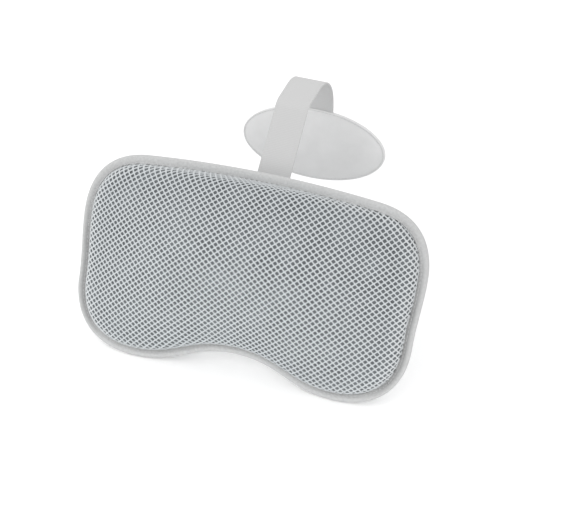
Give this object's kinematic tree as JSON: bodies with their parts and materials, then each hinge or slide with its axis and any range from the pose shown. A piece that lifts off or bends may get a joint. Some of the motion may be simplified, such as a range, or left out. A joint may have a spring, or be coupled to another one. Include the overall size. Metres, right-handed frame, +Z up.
{
  "type": "bath pillow",
  "caption": "Kidney-shaped bath pillow with a domed net face and bound edge, hung over a tub rim by a flat strap that ends in an oval counterweight pad.",
  "frame": {"origin": "the middle of the strap's underside, where it lies flat on the tub's rim", "axes": "+X along the pillow's width, +Y from the bather out over the rim, +Z up"},
  "size_m": [0.3396, 0.2558, 0.205],
  "materials": {
    "net_fabric": "matte",
    "backing_fabric": "matte",
    "binding_fabric": "matte",
    "strap_webbing": "matte",
    "cover_fabric": "matte",
    "thread": "matte",
    "foam": "matte",
    "steel": "satin"
  },
  "bodies": {
    "saddle": {"strap_saddle": "strap_webbing"},
    "front_strap": {"strap_front_leg": "strap_webbing"},
    "pillow": {"front_mesh": "net_fabric", "mesh_backing": "backing_fabric", "foam_core": "foam", "back_panel": "binding_fabric", "edge_binding": "binding_fabric", "binding_needle_thread": "thread", "binding_bobbin_thread": "thread", "strap_sewn_tab": "strap_webbing", "strap_box_stitch": "thread"},
    "rear_strap": {"strap_rear_leg": "strap_webbing"},
    "counterweight": {"strap_end_tab": "strap_webbing", "weight_inner_cover": "cover_fabric", "weight_outer_cover": "cover_fabric", "weight_edge_band": "cover_fabric", "weight_plate": "steel", "weight_inner_pad": "foam", "weight_outer_pad": "foam", "weight_needle_thread": "thread", "weight_bobbin_thread": "thread"}
  },
  "joints": [
    {"name": "front_flex", "type": "hinge", "parent": "saddle", "child": "front_strap", "pos_m": [0, -0.02376, -0.00357], "axis": [-1, 0, 0], "range_deg": [0, 80]},
    {"name": "pillow_tilt", "type": "hinge", "parent": "front_strap", "child": "pillow", "pos_m": [0, -0.08788, -0.05892], "axis": [-1, 0, 0], "range_deg": [0, 38]},
    {"name": "rear_flex", "type": "hinge", "parent": "saddle", "child": "rear_strap", "pos_m": [0, 0.04837, -0.0202], "axis": [1, 0, 0], "range_deg": [-25, 90]},
    {"name": "counterweight_tilt", "type": "hinge", "parent": "rear_strap", "child": "counterweight", "pos_m": [0, 0.054, -0.0492], "axis": [1, 0, 0], "range_deg": [-25, 75]}
  ]
}
